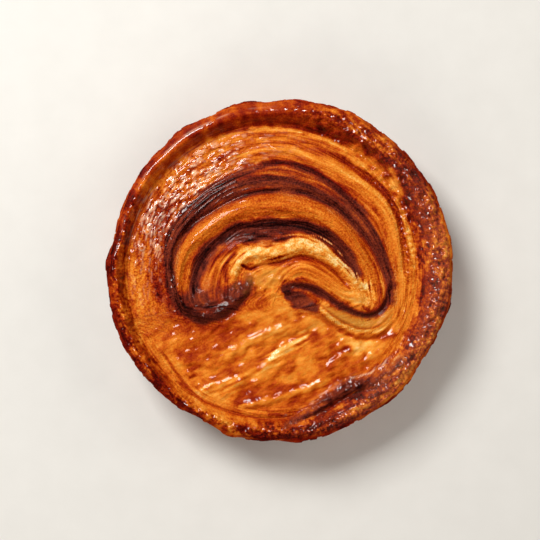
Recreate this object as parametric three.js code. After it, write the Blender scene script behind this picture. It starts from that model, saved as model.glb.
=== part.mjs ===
import * as THREE from "three";

// Breton butter cake: a round of folded, buttered and sugared dough, baked in a tin until it caramelises.
// It is one solid, in millimetres, with +Z up and the origin at the middle of its flat base.
// Seen from above, the swirl of folded leaves arches towards +Y and its two feet point towards -Y.

// Driving dimensions
const OUTER_RADIUS = 90; // widest girth, at the shoulder under the rim
const BASE_RADIUS = 83; // flat underside, narrower because the tin's wall slopes
const RIM_HEIGHT = 36; // crest of the rim above the base
const SHEET_HEIGHT = 29; // groove at the foot of the rim, above the base
const DOME_RISE = 2; // how far the middle of the sheet stands above that groove

// Rim: it climbs from its foot to a crest, and is broadest where FOOT_BROAD_ANGLE points
const FOOT_RADIUS = 75.7;
const FOOT_SWING = 4.3;
const FOOT_BROAD_ANGLE = THREE.MathUtils.degToRad(12);
const CLIMB_SHARE = 0.65; // share of the breadth from the foot to the turn into the wall
const CREST_INSET = 7; // from the girth in to where the crest starts to round over
const SHOULDER_INSET = 3; // from the girth in to where the top turns over into the wall
const SHOULDER_DROP = 2; // how far the top has sunk there
const RIM_WAVES = [
  { count: 2, size: 0.5, phase: 0.6, slant: 0 },
  { count: 5, size: 0.4, phase: 2.1, slant: 0 },
  { count: 11, size: 0.4, phase: 4.4, slant: 0.15 },
];

// Girth: slow waves, and crags where a torn leaf of crust ends in a step
const GIRTH_WAVES = [
  { count: 2, size: 0.25, phase: 1, slant: 0 },
  { count: 11, size: 0.15, phase: 2.6, slant: 0 },
  { count: 19, size: 0.14, phase: 5.1, slant: 0 },
];
const CRAG_SPREAD = THREE.MathUtils.degToRad(7);
const CRAGS = [
  { degrees: 8, size: 0.6 },
  { degrees: 40, size: -0.6 },
  { degrees: 95, size: -0.9 },
  { degrees: 118, size: -0.7 },
  { degrees: 133, size: -0.6 },
  { degrees: 154, size: -1 },
  { degrees: 167, size: -1.4 },
  { degrees: 178, size: 1.1 },
  { degrees: 208, size: 1.1 },
  { degrees: 242, size: -0.9 },
  { degrees: 258, size: 0.5 },
  { degrees: 294, size: -0.9 },
  { degrees: 311, size: -0.6 },
  { degrees: 326, size: -1.5 },
  { degrees: 352, size: 0.6 },
];

// Wall: baked leaves show as stacked ledges, one row at the girth and the next row set in
const WALL_ROWS = 8;
const WALL_ROW_CROWDING = 1.3; // over 1 sets the rows closer together towards the shoulder
const WALL_TAPER = 1.5; // over 1 keeps the girth full and draws the wall in towards the base
const ROW_INSET = 1.2;
const ROW_WAVES = [{ count: 11, size: 0.3, phase: 0.9, slant: 0 }];

// Swirl: a low oval mound under the folds
const MOUND_RISE = 2.5;
const MOUND_CENTRE = [-2, 20];
const MOUND_HALF = [64, 48];

// How a fold stands across its line: q is the distance from the line over the half-breadth, + on its right
const roll = (q) => Math.max(0, 1 - q * q) ** 2;
const crease = (q) => Math.exp(-q * q);
const BRINK_REACH = 4; // half-breadths back from a ledge's brink to where its high side fades
const ledge = (q) => 0.5 * (1 - Math.tanh(q)) * crease(Math.min(q, 0) / BRINK_REACH);

// Lines that the folds follow, seen from above
const LINES = {
  darkArch: [[-53, -17], [-57.5, -2.5], [-56, 14.5], [-44, 31], [-5, 48.5], [33.5, 33], [56, -1], [59, -16]],
  archCrease: [[-49.5, -21], [-56.5, 0], [-46.5, 24], [-25, 37], [0, 41], [20, 35], [39, 21], [54.5, -9]],
  amberRoll: [[-51.5, -17], [-53, -4], [-39.5, 20.5], [-9.5, 34], [21.5, 29.5], [40.5, 10.5], [47.5, -4]],
  darkInnerArch: [[-47, -15], [-46, -2.5], [-32, 15.5], [-8, 23.5], [19.5, 20], [37, 2]],
  creamLeaf: [[-24.5, -9.5], [-22.5, 1.5], [-15.5, 8], [-2.5, 10], [9.5, 14], [19.5, 10.5], [46, -12.5]],
  leafCrease: [[-19.5, 2.5], [-15.5, 0.5], [-1, 5], [10.5, 8.5], [19.5, 5.5], [36, -9.5]],
  orangeLeaf: [[4, -2.5], [13, 1.5], [23.5, -4], [33.5, -11], [45.5, -16]],
  darkFold: [[2, -9], [8.5, -7], [24, -12], [39, -21], [46, -22.5], [51.5, -20], [56, -8.5]],
  lens: [[21.5, -19.5], [32, -25.5], [42.5, -29], [51.5, -28.5], [59, -21]],
  redCrease: [[10.5, -21], [20.5, -24.5], [37, -34], [46.5, -36], [55, -33], [61, -25]],
  lip: [[-56.5, -2], [-55, -12.5], [-49.5, -20.5], [-41.5, -25], [-33.5, -24], [-15.5, -7]],
  goldLeaf: [[-26, 58], [-9.5, 62.5], [4, 62], [33.5, 50], [53, 35.5], [61.5, 13], [63, -2.5]],
  greyValley: [[26, 61], [47.5, 47], [62, 27.5], [65.5, -2.5]],
  tuck: [[2.5, -81], [16.5, -73.5], [33.5, -62], [51.5, -56], [63, -46.5]],
  groove: [[-63, -41.5], [-42, -67], [-9.5, -78], [10.5, -76]],
  sheetRidgeMiddle: [[-11.5, -54], [1, -42.5], [13, -35]],
  sheetRidgeLeft: [[-40, -62], [-25, -56], [-9.5, -55]],
  sheetRidgeLow: [[-20.5, -71.5], [2.5, -66], [26, -57]],
  sheetRidgeUpper: [[-28, -44], [-8, -33.5], [5, -28.5]],
  sheetRidgeRight: [[24, -53], [33.5, -44], [43, -39]],
};

// Folds of the dough: half-breadth and rise are spaced evenly along the line
const FOLDS = [
  { line: LINES.darkArch, half: [2, 3, 5.6, 6.8, 7, 6.4, 5.6, 4.6, 3], rise: [0.9], form: roll },
  { line: LINES.archCrease, half: [2.8], rise: [-1.5], form: crease },
  { line: LINES.amberRoll, half: [1.6, 3.2, 5, 6, 6.6, 6.4, 5.8, 5.2, 4.5], rise: [2.4], form: roll },
  { line: LINES.darkInnerArch, half: [2.8, 3.5, 3.2, 3.2, 3], rise: [-2.4], form: crease },
  { line: LINES.creamLeaf, half: [1.5, 3.4, 3.8, 4.2, 5, 4.6, 3.6, 2.8, 2], rise: [1.9], form: roll },
  { line: LINES.leafCrease, half: [3], rise: [-1.3], form: crease },
  { line: LINES.orangeLeaf, half: [2.5, 6, 6, 5, 3], rise: [1.7], form: roll },
  { line: LINES.darkFold, half: [2.8], rise: [-1.8], form: crease },
  { line: LINES.darkFold, half: [2.8], rise: [0, 1.4, 1.4, 1.4, 0], form: ledge },
  { line: LINES.lens, half: [1.5, 3.8, 4.6, 4.2, 2], rise: [1], form: roll },
  { line: LINES.redCrease, half: [2.8], rise: [-1], form: crease },
  { line: LINES.redCrease, half: [2.8], rise: [0, 0.8, 0.8, 0.8, 0], form: ledge },
  { line: LINES.lip, half: [2, 2.6, 3.2, 3.4, 3.6, 3.6, 3.4, 2.4], rise: [1.3], form: roll },
  { line: LINES.lip, half: [2.8], rise: [0, 2.2, 2.2, 2.2, 0], form: ledge },
  { line: LINES.goldLeaf, half: [2, 3.5, 4.5, 4.5, 3.5, 2.5], rise: [0.9], form: roll },
  { line: LINES.greyValley, half: [2.8], rise: [-1.1], form: crease },
  { line: LINES.tuck, half: [1.6, 4, 5.2, 4.6, 2.1], rise: [3], form: roll },
  { line: LINES.groove, half: [2.8], rise: [-0.8], form: crease },
  { line: LINES.sheetRidgeMiddle, half: [3.2], rise: [1.1], form: roll },
  { line: LINES.sheetRidgeLeft, half: [3.4], rise: [1.1], form: roll },
  { line: LINES.sheetRidgeLow, half: [3], rise: [1.2], form: roll },
  { line: LINES.sheetRidgeUpper, half: [3.2], rise: [0.9], form: roll },
  { line: LINES.sheetRidgeRight, half: [3.2], rise: [1], form: roll },
];
const FOLD_STEPS = 48; // straight pieces that a fold's line is measured on

// Mesh: rings on the top, each with six more points than the one inside it, and a hexagon under the base
const RINGS = 36;
const SECTORS = 6;
const RING_CROWDING = 1.15; // over 1 sets the rings closer together towards the middle
const HEXAGON_SHARE = 0.6; // of the base radius

const CRUST = new THREE.MeshStandardMaterial({ color: 0xc46a24, roughness: 0.35, metalness: 0 });

// Waves that run round the cake, slanting as they go outwards.
function waveSum(waves, angle, radius = 0) {
  const wave = ({ count, size, phase, slant }) => size * Math.sin(count * angle + slant * radius + phase);
  return waves.reduce((sum, terms) => sum + wave(terms), 0);
}

// The shorter way round from one angle to another.
function turnBetween(from, to) {
  return Math.atan2(Math.sin(to - from), Math.cos(to - from));
}

function girthRadius(angle) {
  const crags = CRAGS.reduce((sum, crag) => {
    const turn = turnBetween(THREE.MathUtils.degToRad(crag.degrees), angle);
    return sum + crag.size * crease(turn / CRAG_SPREAD);
  }, 0);
  return OUTER_RADIUS + waveSum(GIRTH_WAVES, angle) + crags;
}

// Each fold's line as evenly spaced points, so that the nearest place on it can be found.
function traceFold({ line, half, rise, form }) {
  const corners = line.map(([x, y]) => new THREE.Vector3(x, y, 0));
  const points = new THREE.CatmullRomCurve3(corners, false, "catmullrom", 0.5).getSpacedPoints(FOLD_STEPS);
  return { points, half, rise, form };
}

// A value that is listed at even steps along a line, at a share from 0 to 1 of its length.
function alongList(list, share) {
  const place = share * (list.length - 1);
  const before = Math.min(Math.floor(place), Math.max(list.length - 2, 0));
  return THREE.MathUtils.lerp(list[before], list[before + 1] ?? list[before], place - before);
}

// How much a fold raises or sinks the top at a point.
function foldRelief({ points, half, rise, form }, spot) {
  const segment = new THREE.Line3();
  const foot = new THREE.Vector3();
  const away = new THREE.Vector3();
  const heading = new THREE.Vector3();
  let nearest = { distance: Infinity, side: 1, share: 0 };
  for (let i = 0; i < FOLD_STEPS; i += 1) {
    segment.set(points[i], points[i + 1]);
    const part = segment.closestPointToPointParameter(spot, true);
    const distance = away.subVectors(spot, segment.at(part, foot)).length();
    if (distance >= nearest.distance) continue;
    const side = segment.delta(heading).cross(away).z > 0 ? -1 : 1;
    nearest = { distance, side, share: (i + part) / FOLD_STEPS };
  }
  const { distance, side, share } = nearest;
  return alongList(rise, share) * form((side * distance) / alongList(half, share));
}

const TRACED_FOLDS = FOLDS.map(traceFold);

// Height of the sheet inside the rim: a slight dome, the swirl's mound and the folds.
function sheetHeight(x, y) {
  const dome = DOME_RISE * (1 - (x * x + y * y) / FOOT_RADIUS ** 2);
  const across = Math.hypot((x - MOUND_CENTRE[0]) / MOUND_HALF[0], (y - MOUND_CENTRE[1]) / MOUND_HALF[1]);
  const spot = new THREE.Vector3(x, y, 0);
  const folds = TRACED_FOLDS.reduce((sum, fold) => sum + foldRelief(fold, spot), 0);
  return SHEET_HEIGHT + dome + MOUND_RISE * roll(across) + folds;
}

// Height of the rim's own surface, which rounds over outside its crest.
function rimHeight(radius, angle) {
  const crest = girthRadius(angle) - CREST_INSET;
  const over = Math.max(0, (radius - crest) / (CREST_INSET - SHOULDER_INSET));
  return RIM_HEIGHT + waveSum(RIM_WAVES, angle, radius) - SHOULDER_DROP * over * over;
}

// Height of the top at a radius and angle: the sheet, climbing on to the rim.
function topHeight(radius, angle) {
  const foot = FOOT_RADIUS - FOOT_SWING * Math.cos(angle - FOOT_BROAD_ANGLE);
  const run = CLIMB_SHARE * (girthRadius(angle) - SHOULDER_INSET - foot);
  const climb = THREE.MathUtils.smoothstep(radius, foot, foot + run);
  const sheet = sheetHeight(radius * Math.cos(angle), radius * Math.sin(angle));
  return THREE.MathUtils.lerp(sheet, rimHeight(radius, angle), climb);
}

// A point at a radius, angle and height.
function polarPoint(radius, angle, height) {
  return new THREE.Vector3(radius * Math.cos(angle), radius * Math.sin(angle), height);
}

// A point of the wall, from the shoulder at row 0 to the base's edge at the last row.
function wallPoint(row, angle) {
  const share = (row / WALL_ROWS) ** WALL_ROW_CROWDING;
  const girth = girthRadius(angle);
  const shoulder = rimHeight(girth - SHOULDER_INSET, angle);
  const inset = row % 2 ? ROW_INSET : 0;
  const swell = row < WALL_ROWS ? waveSum(ROW_WAVES, angle + row) - inset : 0;
  const radius = THREE.MathUtils.lerp(girth, BASE_RADIUS, share ** WALL_TAPER) + swell;
  return polarPoint(radius, angle, shoulder * (1 - share));
}

// The top's points, ring by ring from the middle, and the triangles between each ring and the one inside it.
function buildTop() {
  const points = [new THREE.Vector3(0, 0, topHeight(0, 0))];
  const triangles = [];
  const first = (ring) => (ring ? 1 + (SECTORS * ring * (ring - 1)) / 2 : 0);
  const at = (ring, place) => first(ring) + (ring ? place % (SECTORS * ring) : 0);
  for (let ring = 1; ring <= RINGS; ring += 1) {
    for (let place = 0; place < SECTORS * ring; place += 1) {
      const angle = (2 * Math.PI * place) / (SECTORS * ring);
      const radius = (ring / RINGS) ** RING_CROWDING * (girthRadius(angle) - SHOULDER_INSET);
      points.push(polarPoint(radius, angle, topHeight(radius, angle)));
    }
    for (let sector = 0; sector < SECTORS; sector += 1) {
      for (let step = 0; step < ring; step += 1) {
        const outer = sector * ring + step;
        const inner = sector * (ring - 1) + step;
        triangles.push(at(ring - 1, inner), at(ring, outer), at(ring, outer + 1));
        if (step === ring - 1) continue;
        triangles.push(at(ring - 1, inner), at(ring, outer + 1), at(ring - 1, inner + 1));
      }
    }
  }
  return { points, triangles, edge: first(RINGS) };
}

// The wall's rows under the top's edge, then the flat base, down to a hexagon of four triangles.
function buildCake() {
  const { points, triangles, edge } = buildTop();
  const around = SECTORS * RINGS;
  const step = (2 * Math.PI) / around;
  for (let row = 1; row <= WALL_ROWS; row += 1) {
    for (let place = 0; place < around; place += 1) points.push(wallPoint(row, place * step));
  }
  const at = (row, place) => edge + row * around + (place % around);
  for (let row = 0; row < WALL_ROWS; row += 1) {
    for (let place = 0; place < around; place += 1) {
      triangles.push(at(row, place), at(row + 1, place), at(row + 1, place + 1));
      triangles.push(at(row, place), at(row + 1, place + 1), at(row, place + 1));
    }
  }
  const hexagon = points.length;
  for (let corner = 0; corner < SECTORS; corner += 1) {
    const angle = (2 * Math.PI * (corner + 0.5)) / SECTORS;
    points.push(polarPoint(HEXAGON_SHARE * BASE_RADIUS, angle, 0));
  }
  const corner = (n) => hexagon + (n % SECTORS);
  for (let sector = 0; sector < SECTORS; sector += 1) {
    for (let place = sector * RINGS; place < (sector + 1) * RINGS; place += 1) {
      triangles.push(at(WALL_ROWS, place), corner(sector), at(WALL_ROWS, place + 1));
    }
    triangles.push(corner(sector), corner(sector + 1), at(WALL_ROWS, (sector + 1) * RINGS));
  }
  for (let n = 0; n < SECTORS; n += 2) triangles.push(corner(n), corner(n + 2), corner(n + 1));
  triangles.push(corner(0), corner(4), corner(2));
  const geometry = new THREE.BufferGeometry().setFromPoints(points);
  geometry.setIndex(triangles);
  geometry.computeVertexNormals();
  return geometry;
}

const cake = new THREE.Mesh(buildCake(), CRUST);
cake.name = "cake";

const group = new THREE.Group();
group.add(cake);

export default group;
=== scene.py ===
# %% [markdown]
# A breton butter cake
# The cake is a round of folded, buttered and sugared dough. In the oven the sugar turns to caramel: gold on
# the flat sheet, red-brown on the rim and almost black along the folds. This lesson models it as one closed
# mesh, browns it with a map that is painted along the folds, and lights it like a dish on a pale table.
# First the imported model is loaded. Its box is the size that the finished cake has to keep.

# %% Load the frame
import itertools
import math

import bmesh
import bpy
import numpy as np
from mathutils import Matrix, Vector


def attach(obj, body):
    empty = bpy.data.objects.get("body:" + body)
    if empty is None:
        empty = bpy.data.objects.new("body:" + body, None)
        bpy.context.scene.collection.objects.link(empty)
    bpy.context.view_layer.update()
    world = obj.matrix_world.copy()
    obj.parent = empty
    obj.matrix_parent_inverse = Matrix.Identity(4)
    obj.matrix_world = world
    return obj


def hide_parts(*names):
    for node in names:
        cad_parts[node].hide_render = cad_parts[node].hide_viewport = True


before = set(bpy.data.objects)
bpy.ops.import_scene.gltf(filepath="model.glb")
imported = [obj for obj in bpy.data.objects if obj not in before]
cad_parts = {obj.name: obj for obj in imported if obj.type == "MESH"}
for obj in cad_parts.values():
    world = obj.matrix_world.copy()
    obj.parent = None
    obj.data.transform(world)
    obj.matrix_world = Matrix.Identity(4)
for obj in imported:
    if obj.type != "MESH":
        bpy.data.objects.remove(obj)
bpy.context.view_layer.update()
MM = 0.001

# %% [markdown]
# The blank
# A disc needs a mesh with even triangles and no crowded pole in the middle, because small folds are pressed
# into it everywhere. A grid on a square would work, but it is stretched at its corners. A hexagon of six
# triangles, subdivided, has even triangles all over. Its edge is then extruded downwards row by row for the
# wall, and the last loop is filled for the base. So far it is only a blank: a hexagonal block of unit size.

# %% Make the blank
SIDES = 6
RINGS = 142
WALL_ROWS = 40

blank = bmesh.new()
bmesh.ops.create_circle(blank, cap_ends=True, cap_tris=True, segments=SIDES, radius=1)
bmesh.ops.subdivide_edges(blank, edges=blank.edges[:], cuts=RINGS - 1, use_grid_fill=True)
loop = [edge for edge in blank.edges if edge.is_boundary]
for _ in range(WALL_ROWS):
    made = bmesh.ops.extrude_edge_only(blank, edges=loop)["geom"]
    moved = [part for part in made if isinstance(part, bmesh.types.BMVert)]
    bmesh.ops.translate(blank, verts=moved, vec=(0, 0, -1))
    loop = [part for part in made if isinstance(part, bmesh.types.BMEdge) and part.is_boundary]
bmesh.ops.edgeloop_fill(blank, edges=loop)
bmesh.ops.recalc_face_normals(blank, faces=blank.faces[:])
print("blank:", len(blank.verts), "points and", len(blank.faces), "faces")

# %% [markdown]
# From hexagon to round
# The block could be pressed into shape with sculpting brushes, but then no size would be exact. Instead the
# places of all its points are read into numpy arrays, where one line of maths moves every point at once.
# First each point gets an angle round the cake and a share of the way out to the edge, which turns the
# hexagon's straight sides into arcs.

# %% Read the blank's points
cake_mesh = bpy.data.meshes.new("butter_cake")
blank.to_mesh(cake_mesh)
blank.free()
flat = np.empty(3 * len(cake_mesh.vertices))
cake_mesh.vertices.foreach_get("co", flat)
across_blank, up_blank, row_blank = flat.reshape(-1, 3).T
row = np.rint(-row_blank)
top = row == 0
print("points of the top:", int(top.sum()), "and of the wall:", int((~top).sum()))

# %% Angle and share of the way out
SIDE_ANGLE = 2 * math.pi / SIDES
HALF_SIDE = SIDE_ANGLE / 2
TO_SIDE = math.cos(HALF_SIDE)

turn = np.arctan2(up_blank, across_blank) - HALF_SIDE
side_number = np.floor(turn / SIDE_ANGLE)
off_middle = turn - (side_number + 0.5) * SIDE_ANGLE
# A hexagon's side is as long as its radius, so this is also the share along the side, from its middle.
along_side = TO_SIDE * np.tan(off_middle)
angle = HALF_SIDE + (side_number + 0.5 + along_side) * SIDE_ANGLE
share_out = np.hypot(across_blank, up_blank) * np.cos(off_middle) / TO_SIDE
degrees = np.degrees(angle) % 360
print("share out runs to", round(float(share_out.max()), 4))

# %% [markdown]
# The outline
# Seen from above the cake is nearly round, with small crags where a torn leaf of crust ends. The outline
# could be traced as a long list of points, but slow sine waves and a few crags, each at an angle, say the
# same and are easy to change. The values are those of the solid model, in millimetres.

# %% Girth and foot of the rim
OUTER_RADIUS = 90
BASE_RADIUS = 83
RIM_HEIGHT = 36
SHEET_HEIGHT = 29
DOME_RISE = 2
FOOT_RADIUS, FOOT_SWING, FOOT_BROAD = 75.7, 4.3, 12
CLIMB_SHARE = 0.65
CREST_INSET, SHOULDER_INSET, SHOULDER_DROP = 7, 3, 2
CRAGS = {8: 0.6, 40: -0.6, 95: -0.9, 118: -0.7, 133: -0.6, 154: -1, 167: -1.4, 178: 1.1, 208: 1.1, 242: -0.9,
         258: 0.5, 294: -0.9, 311: -0.6, 326: -1.5, 352: 0.6}
CRAG_SPREAD = 7


def around(centre, spread):
    """A soft mask that is 1 at an angle round the cake, in degrees, and fades on both sides of it."""
    away = (degrees - centre + 180) % 360 - 180
    return np.exp(-((away / spread) ** 2))


girth = OUTER_RADIUS + 0.25 * np.sin(2 * angle + 1)
girth += 0.15 * np.sin(11 * angle + 2.6) + 0.14 * np.sin(19 * angle + 5.1)
for centre, size in CRAGS.items():
    girth = girth + size * around(centre, CRAG_SPREAD)
foot = FOOT_RADIUS - FOOT_SWING * np.cos(np.radians(degrees - FOOT_BROAD))
radius = share_out * (girth - SHOULDER_INSET)
x, y = radius * np.cos(angle), radius * np.sin(angle)
spots = np.column_stack([x, y])
ring = foot - radius
print("girth from", round(float(girth.min()), 1), "to", round(float(girth.max()), 1), "mm")

# %% [markdown]
# The folds
# The dough was folded over and over, and the ends of the leaves show as nested arches. Each fold is a short
# list of points that a smooth curve passes through, in millimetres from the middle of the cake. A point of
# the mesh then only has to know how far it is from each curve, on which side, and how far along.

# %% Fold lines
FOLDS = {
    "dark_arch": [(-53, -17), (-57.5, -2.5), (-56, 14.5), (-44, 31), (-26, 43.5), (-5, 48.5), (15.5, 44.5),
                  (33.5, 33), (47.5, 17.5), (56, -1), (59, -16.5)],
    "outer_line": [(-12, 53.5), (-5, 55.5), (2, 55.8), (11, 53.8), (20.5, 49.8), (31, 42), (39, 33.5),
                   (45.5, 25), (51, 15), (55.5, 4.5), (58.5, -6), (59.5, -15.5)],
    "arch_stripe": [(-22, 46.5), (-9, 50.8), (4, 50.5), (15, 46.8), (25, 41.2), (33, 34.5)],
    "middle_line": [(-20.5, 44.5), (-9.5, 47.5), (2.5, 47.5), (12, 44.5), (20.5, 40.5), (29.5, 34.5)],
    "arch_crease": [(-49.5, -21), (-55, -12.5), (-56, 0), (-53.5, 12), (-46, 23.5), (-35.5, 30.5),
                    (-24.5, 36.5), (-12.5, 40.5), (0, 41), (10.5, 40.5), (20.5, 36.5), (31, 31.5), (40, 23),
                    (47, 14), (53, 3), (57, -9)],
    "amber_roll": [(-51.5, -17), (-53, -4), (-49.5, 9.5), (-39.5, 20.5), (-25, 30), (-9.5, 34), (8, 33),
                   (21.5, 29.5), (32, 21), (40.5, 10.5), (47.5, -4)],
    "dark_inner": [(-45, -15), (-43.5, -3), (-38, 7.5), (-31, 14.5), (-21, 21), (-8, 23), (8, 23), (19.5, 20),
                   (29, 13.5), (36, 5.5), (40.5, -1.5)],
    "cream_leaf": [(-24.5, -9.5), (-22.5, 1.5), (-15.5, 7.5), (-2.5, 8.7), (9.5, 12.5), (19.5, 10), (30, 2),
                   (39.5, -6.5), (46, -12.5)],
    "leaf_crease": [(-19.5, 2.5), (-15.5, 0.5), (-9.5, 2.2), (-1, 3.6), (10.5, 6.8), (19.5, 4.8), (28, -1),
                    (36, -9.5)],
    "orange_leaf": [(4, -2.5), (13, 1.5), (23.5, -4), (33.5, -11), (45.5, -16)],
    "dark_fold": [(2, -9.5), (8.5, -8), (16.5, -9.5), (24, -13.5), (31, -18.3), (39, -22.3), (46, -23.8),
                  (52.3, -21.5), (56, -15.5), (57, -8.5)],
    "flap": [(2.5, -11), (9.5, -15.5), (17.5, -19.5)],
    "lens": [(21.5, -19.5), (32, -25.5), (42.5, -29), (51.5, -28.5), (59, -21)],
    "lens_line": [(20.5, -17.5), (31.5, -26), (43, -30.4), (52.5, -28.2), (58.5, -21.5)],
    "red_crease": [(10.5, -21), (20.5, -24.5), (29, -30), (37, -34), (46.5, -36), (55, -33), (61, -25)],
    "lip": [(-56.5, -2), (-55, -12.5), (-49.5, -20.5), (-41.5, -25), (-33.5, -24), (-26.5, -19.5), (-20, -14),
            (-15.5, -7)],
    "gold_leaf": [(-26, 58), (-9.5, 62.5), (4, 62), (13, 59), (20.5, 56), (33.5, 50), (44, 43.5), (53, 35.5),
                  (58.5, 26.5), (61.5, 13), (63, -2.5)],
    "grey_valley": [(26, 61), (37, 54.5), (47.5, 47), (56, 39), (62, 27.5), (64.5, 13), (65.5, -2.5)],
    "tuck": [(2.5, -81), (16.5, -73.5), (33.5, -62), (51.5, -56), (63, -46.5)],
    "groove": [(-63, -41.5), (-42, -67), (-9.5, -78), (10.5, -76)],
    "ridge_middle": [(-11.5, -54), (1, -42.5), (13, -35)],
    "ridge_left": [(-43, -64.5), (-30, -60), (-17, -57)],
    "ridge_low": [(-20.5, -71.5), (2.5, -66), (26, -57)],
    "ridge_upper": [(-28, -44), (-8, -33.5), (5, -28.5)],
    "ridge_right": [(24, -53), (33.5, -44), (43, -39)],
}
print("fold lines:", len(FOLDS))

# %% Distances to the folds
CURVE_STEPS = 8


def smooth_line(corners):
    """Points along a Catmull-Rom curve through the corners."""
    p = np.array(corners, float)
    p = np.vstack([2 * p[0] - p[1], p, 2 * p[-1] - p[-2]])
    t = np.linspace(0, 1, CURVE_STEPS, endpoint=False)[:, None]
    spans = []
    for a, b, c, d in zip(p, p[1:], p[2:], p[3:]):
        bend = (2 * a - 5 * b + 4 * c - d) * t**2 + (3 * b - a - 3 * c + d) * t**3
        spans.append(b + 0.5 * ((c - a) * t + bend))
    return np.vstack(spans + [p[-2:-1]])


def distance_to(corners):
    """Signed distance from each point to a curve, + on the right of its direction, and the share along it."""
    line = smooth_line(corners)
    steps = np.diff(line, axis=0)
    lengths = np.hypot(*steps.T)
    starts = np.concatenate([[0], np.cumsum(lengths)])
    best = np.full(len(spots), np.inf)
    side = np.ones(len(spots))
    along = np.zeros(len(spots))
    for start, step, length, before in zip(line, steps, lengths, starts):
        away = spots - start
        part = np.clip(away @ step / length**2, 0, 1)
        gap = np.hypot(*(away - part[:, None] * step).T)
        near = gap < best
        best[near] = gap[near]
        side[near] = np.where(step[1] * away[near, 0] >= step[0] * away[near, 1], 1, -1)
        along[near] = before + part[near] * length
    return best * side, along / starts[-1]


seen = {name: distance_to(corners) for name, corners in FOLDS.items()}
print("measured", len(seen), "folds at", len(spots), "points")

# %% [markdown]
# Unevenness
# Nothing baked is even. A sum of sine waves in random directions is a smooth random field, and a seed makes
# it the same on every run. Scattered cells give the other look of crust: flakes and blisters with borders.

# %% Random waves
def waves(coordinates, seed, count=30):
    """A smooth random field whose blotches are about as large as one unit of the coordinates."""
    draw = np.random.default_rng(seed)
    aims = draw.normal(size=(count, coordinates.shape[1]))
    aims *= (2 * math.pi * draw.uniform(0.4, 1.2, count) / np.linalg.norm(aims, axis=1))[:, None]
    total = np.zeros(len(coordinates))
    for aim, phase in zip(aims, draw.uniform(0, 2 * math.pi, count)):
        total += np.sin(coordinates @ aim + phase)
    return total / math.sqrt(count / 2)


def step_up(low, high, value):
    """0 up to low and 1 from high on, with a smooth climb between. It falls where low is over high."""
    part = np.clip((value - low) / (high - low), 0, 1)
    return part * part * (3 - 2 * part)


# %% Scattered cells
KEY_ROUND, KEY_ACROSS, KEY_GAIN = 12.9898, 78.233, 43758.5453
KEY_FACTORS = (1, 1.7, 2.3)
FAR = 9.0


def cells(count, across, seed):
    """Cells round the cake, count of them in each ring: the distance from a cell's heart, the distance from
    its border, and a random number of its own. One unit of across is one cell's depth."""
    # A cell's heart and number come from the sine of a key, so they are the same for all points of the cell.
    place_round = angle / (2 * math.pi) * count
    home_round, home_across = np.floor(place_round), np.floor(across)
    nearest = np.full(len(angle), FAR)
    second = np.full(len(angle), FAR)
    number = np.zeros(len(angle))
    for step_round, step_across in itertools.product((-1, 0, 1), repeat=2):
        corner_round, corner_across = home_round + step_round, home_across + step_across
        key = (corner_round % count) * KEY_ROUND + corner_across * KEY_ACROSS + seed
        draw = [np.sin(key * factor) * KEY_GAIN % 1 for factor in KEY_FACTORS]
        gap = np.hypot(corner_round + draw[0] - place_round, corner_across + draw[1] - across)
        number = np.where(gap < nearest, draw[2], number)
        second = np.minimum(second, np.maximum(gap, nearest))
        nearest = np.minimum(nearest, gap)
    return nearest, second - nearest, number


# %% [markdown]
# Grain
# Streaks in dough run along the folds, so they need a coordinate that counts the leaves from the rim inwards.
# Between two neighbouring folds that count rises evenly from one to the next. On the sheet, below the swirl,
# the wrinkles slant instead.

# %% Count the leaves from the rim inwards
GUIDES = {
    12: [(-62, -60), (-68, -20), (-67, 8), (-55, 37), *FOLDS["gold_leaf"], (62, -50)],
    26: [(-46, -60), *FOLDS["dark_arch"], (58, -50)],
    40: [(-40, -60), *FOLDS["amber_roll"], (52, -50)],
    52: [(-34, -60), *FOLDS["dark_inner"], (46, -50)],
    66: [(-20, -60), *FOLDS["cream_leaf"], (50, -60)],
    80: [(-8, -60), (-4, -20), *FOLDS["orange_leaf"], (50, -70)],
    92: [(-20, -14), *FOLDS["dark_fold"][:7], (52, -40)],
}
grain = np.minimum(ring, 0)
outer, outer_count = ring, 0
for inner_count, corners in GUIDES.items():
    inner = distance_to(corners)[0]
    between = np.clip(outer / np.maximum(outer - inner, 1e-6), 0, 1)
    between = np.where(outer <= 0, 0, np.where(inner >= 0, 1, between))
    grain = grain + (inner_count - outer_count) * between
    outer, outer_count = inner, inner_count
grain = grain + np.clip(inner, 0, None)
grain = grain + (ring - grain) * step_up(-15, -35, y)
from_leaves = np.minimum.reduce([np.abs(seen[name][0]) for name in ("lens", "flap", "lip")])
sheet = step_up(-8, -28, y + 0.15 * np.abs(x)) * step_up(1, 7, ring) * step_up(3, 6, from_leaves)
print("grain runs from", round(float(grain.min()), 1), "to", round(float(grain.max()), 1))

# %% Streaks, blotches and specks
SHEET_TILT = math.radians(28)
sheet_across = y * math.cos(SHEET_TILT) - x * math.sin(SHEET_TILT)
sheet_along = x * math.cos(SHEET_TILT) + y * math.sin(SHEET_TILT)


def streaks(fine, long, seed):
    """Streaks of a breadth and a length in mm, along the folds and along the sheet's slanting ridges."""
    folds = waves(np.column_stack([grain / fine, x / long, y / long]), seed)
    wrinkles = waves(np.column_stack([sheet_across / fine, x / long, y / long]), seed + 1)
    return folds + (wrinkles - folds) * sheet


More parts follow.
